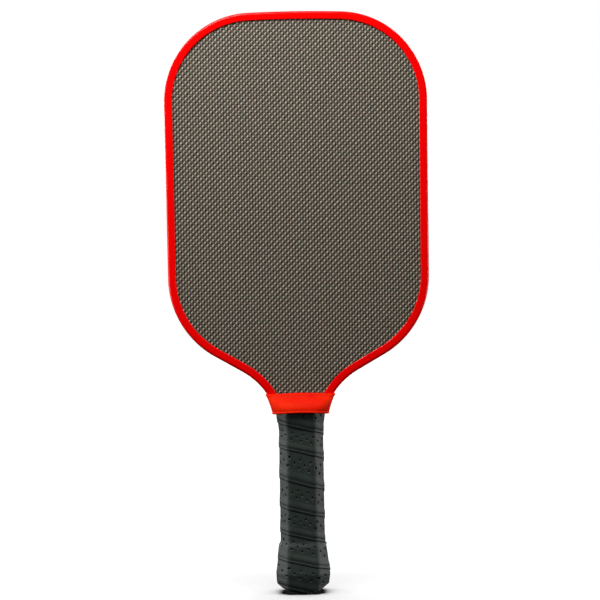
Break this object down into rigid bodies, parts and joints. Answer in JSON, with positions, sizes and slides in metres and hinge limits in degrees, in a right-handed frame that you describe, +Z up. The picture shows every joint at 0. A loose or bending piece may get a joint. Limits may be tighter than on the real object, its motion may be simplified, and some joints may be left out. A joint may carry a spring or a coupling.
{
  "type": "pickleball paddle",
  "caption": "Elongated pickleball paddle: woven composite faces on a honeycomb core, red edge guard and collar, and a cushioned wrapped grip over a flared butt cap.",
  "frame": {"origin": "centre of the butt's end, at its lowest point, on the handle's axis", "axes": "+Z up the handle towards the head, +X across the blade, +Y through the thickness; the front face looks towards -Y"},
  "size_m": [0.1904, 0.0364, 0.4191],
  "materials": {
    "core_polymer": "translucent white polypropylene",
    "veil": "non-woven polyester",
    "woven_laminate": "satin plain-weave composite, 2 mm tows",
    "bonding_tape": "double-sided adhesive tape",
    "guard_red": "smooth red moulded plastic",
    "pallet_foam": "dense structural foam",
    "cap_plastic": "black moulded plastic",
    "badge_plastic": "plain black domed medallion",
    "staple_steel": "galvanised wire",
    "grip_cushion": "perforated matt polyurethane, charcoal",
    "finish_tape": "black vinyl tape",
    "collar_rubber": "satin red elastomer"
  },
  "bodies": {
    "root": {"honeycomb_core": "core_polymer", "front_veil": "veil", "back_veil": "veil", "front_face_sheet": "woven_laminate", "back_face_sheet": "woven_laminate", "edge_tape": "bonding_tape", "edge_guard": "guard_red", "front_pallet": "pallet_foam", "back_pallet": "pallet_foam", "butt_cap": "cap_plastic", "butt_badge": "badge_plastic", "front_cap_staple": "staple_steel", "back_cap_staple": "staple_steel", "grip_staple": "staple_steel", "grip_adhesive": "bonding_tape", "cushion_grip": "grip_cushion", "finish_tape": "finish_tape", "grip_collar": "collar_rubber"}
  },
  "joints": []
}
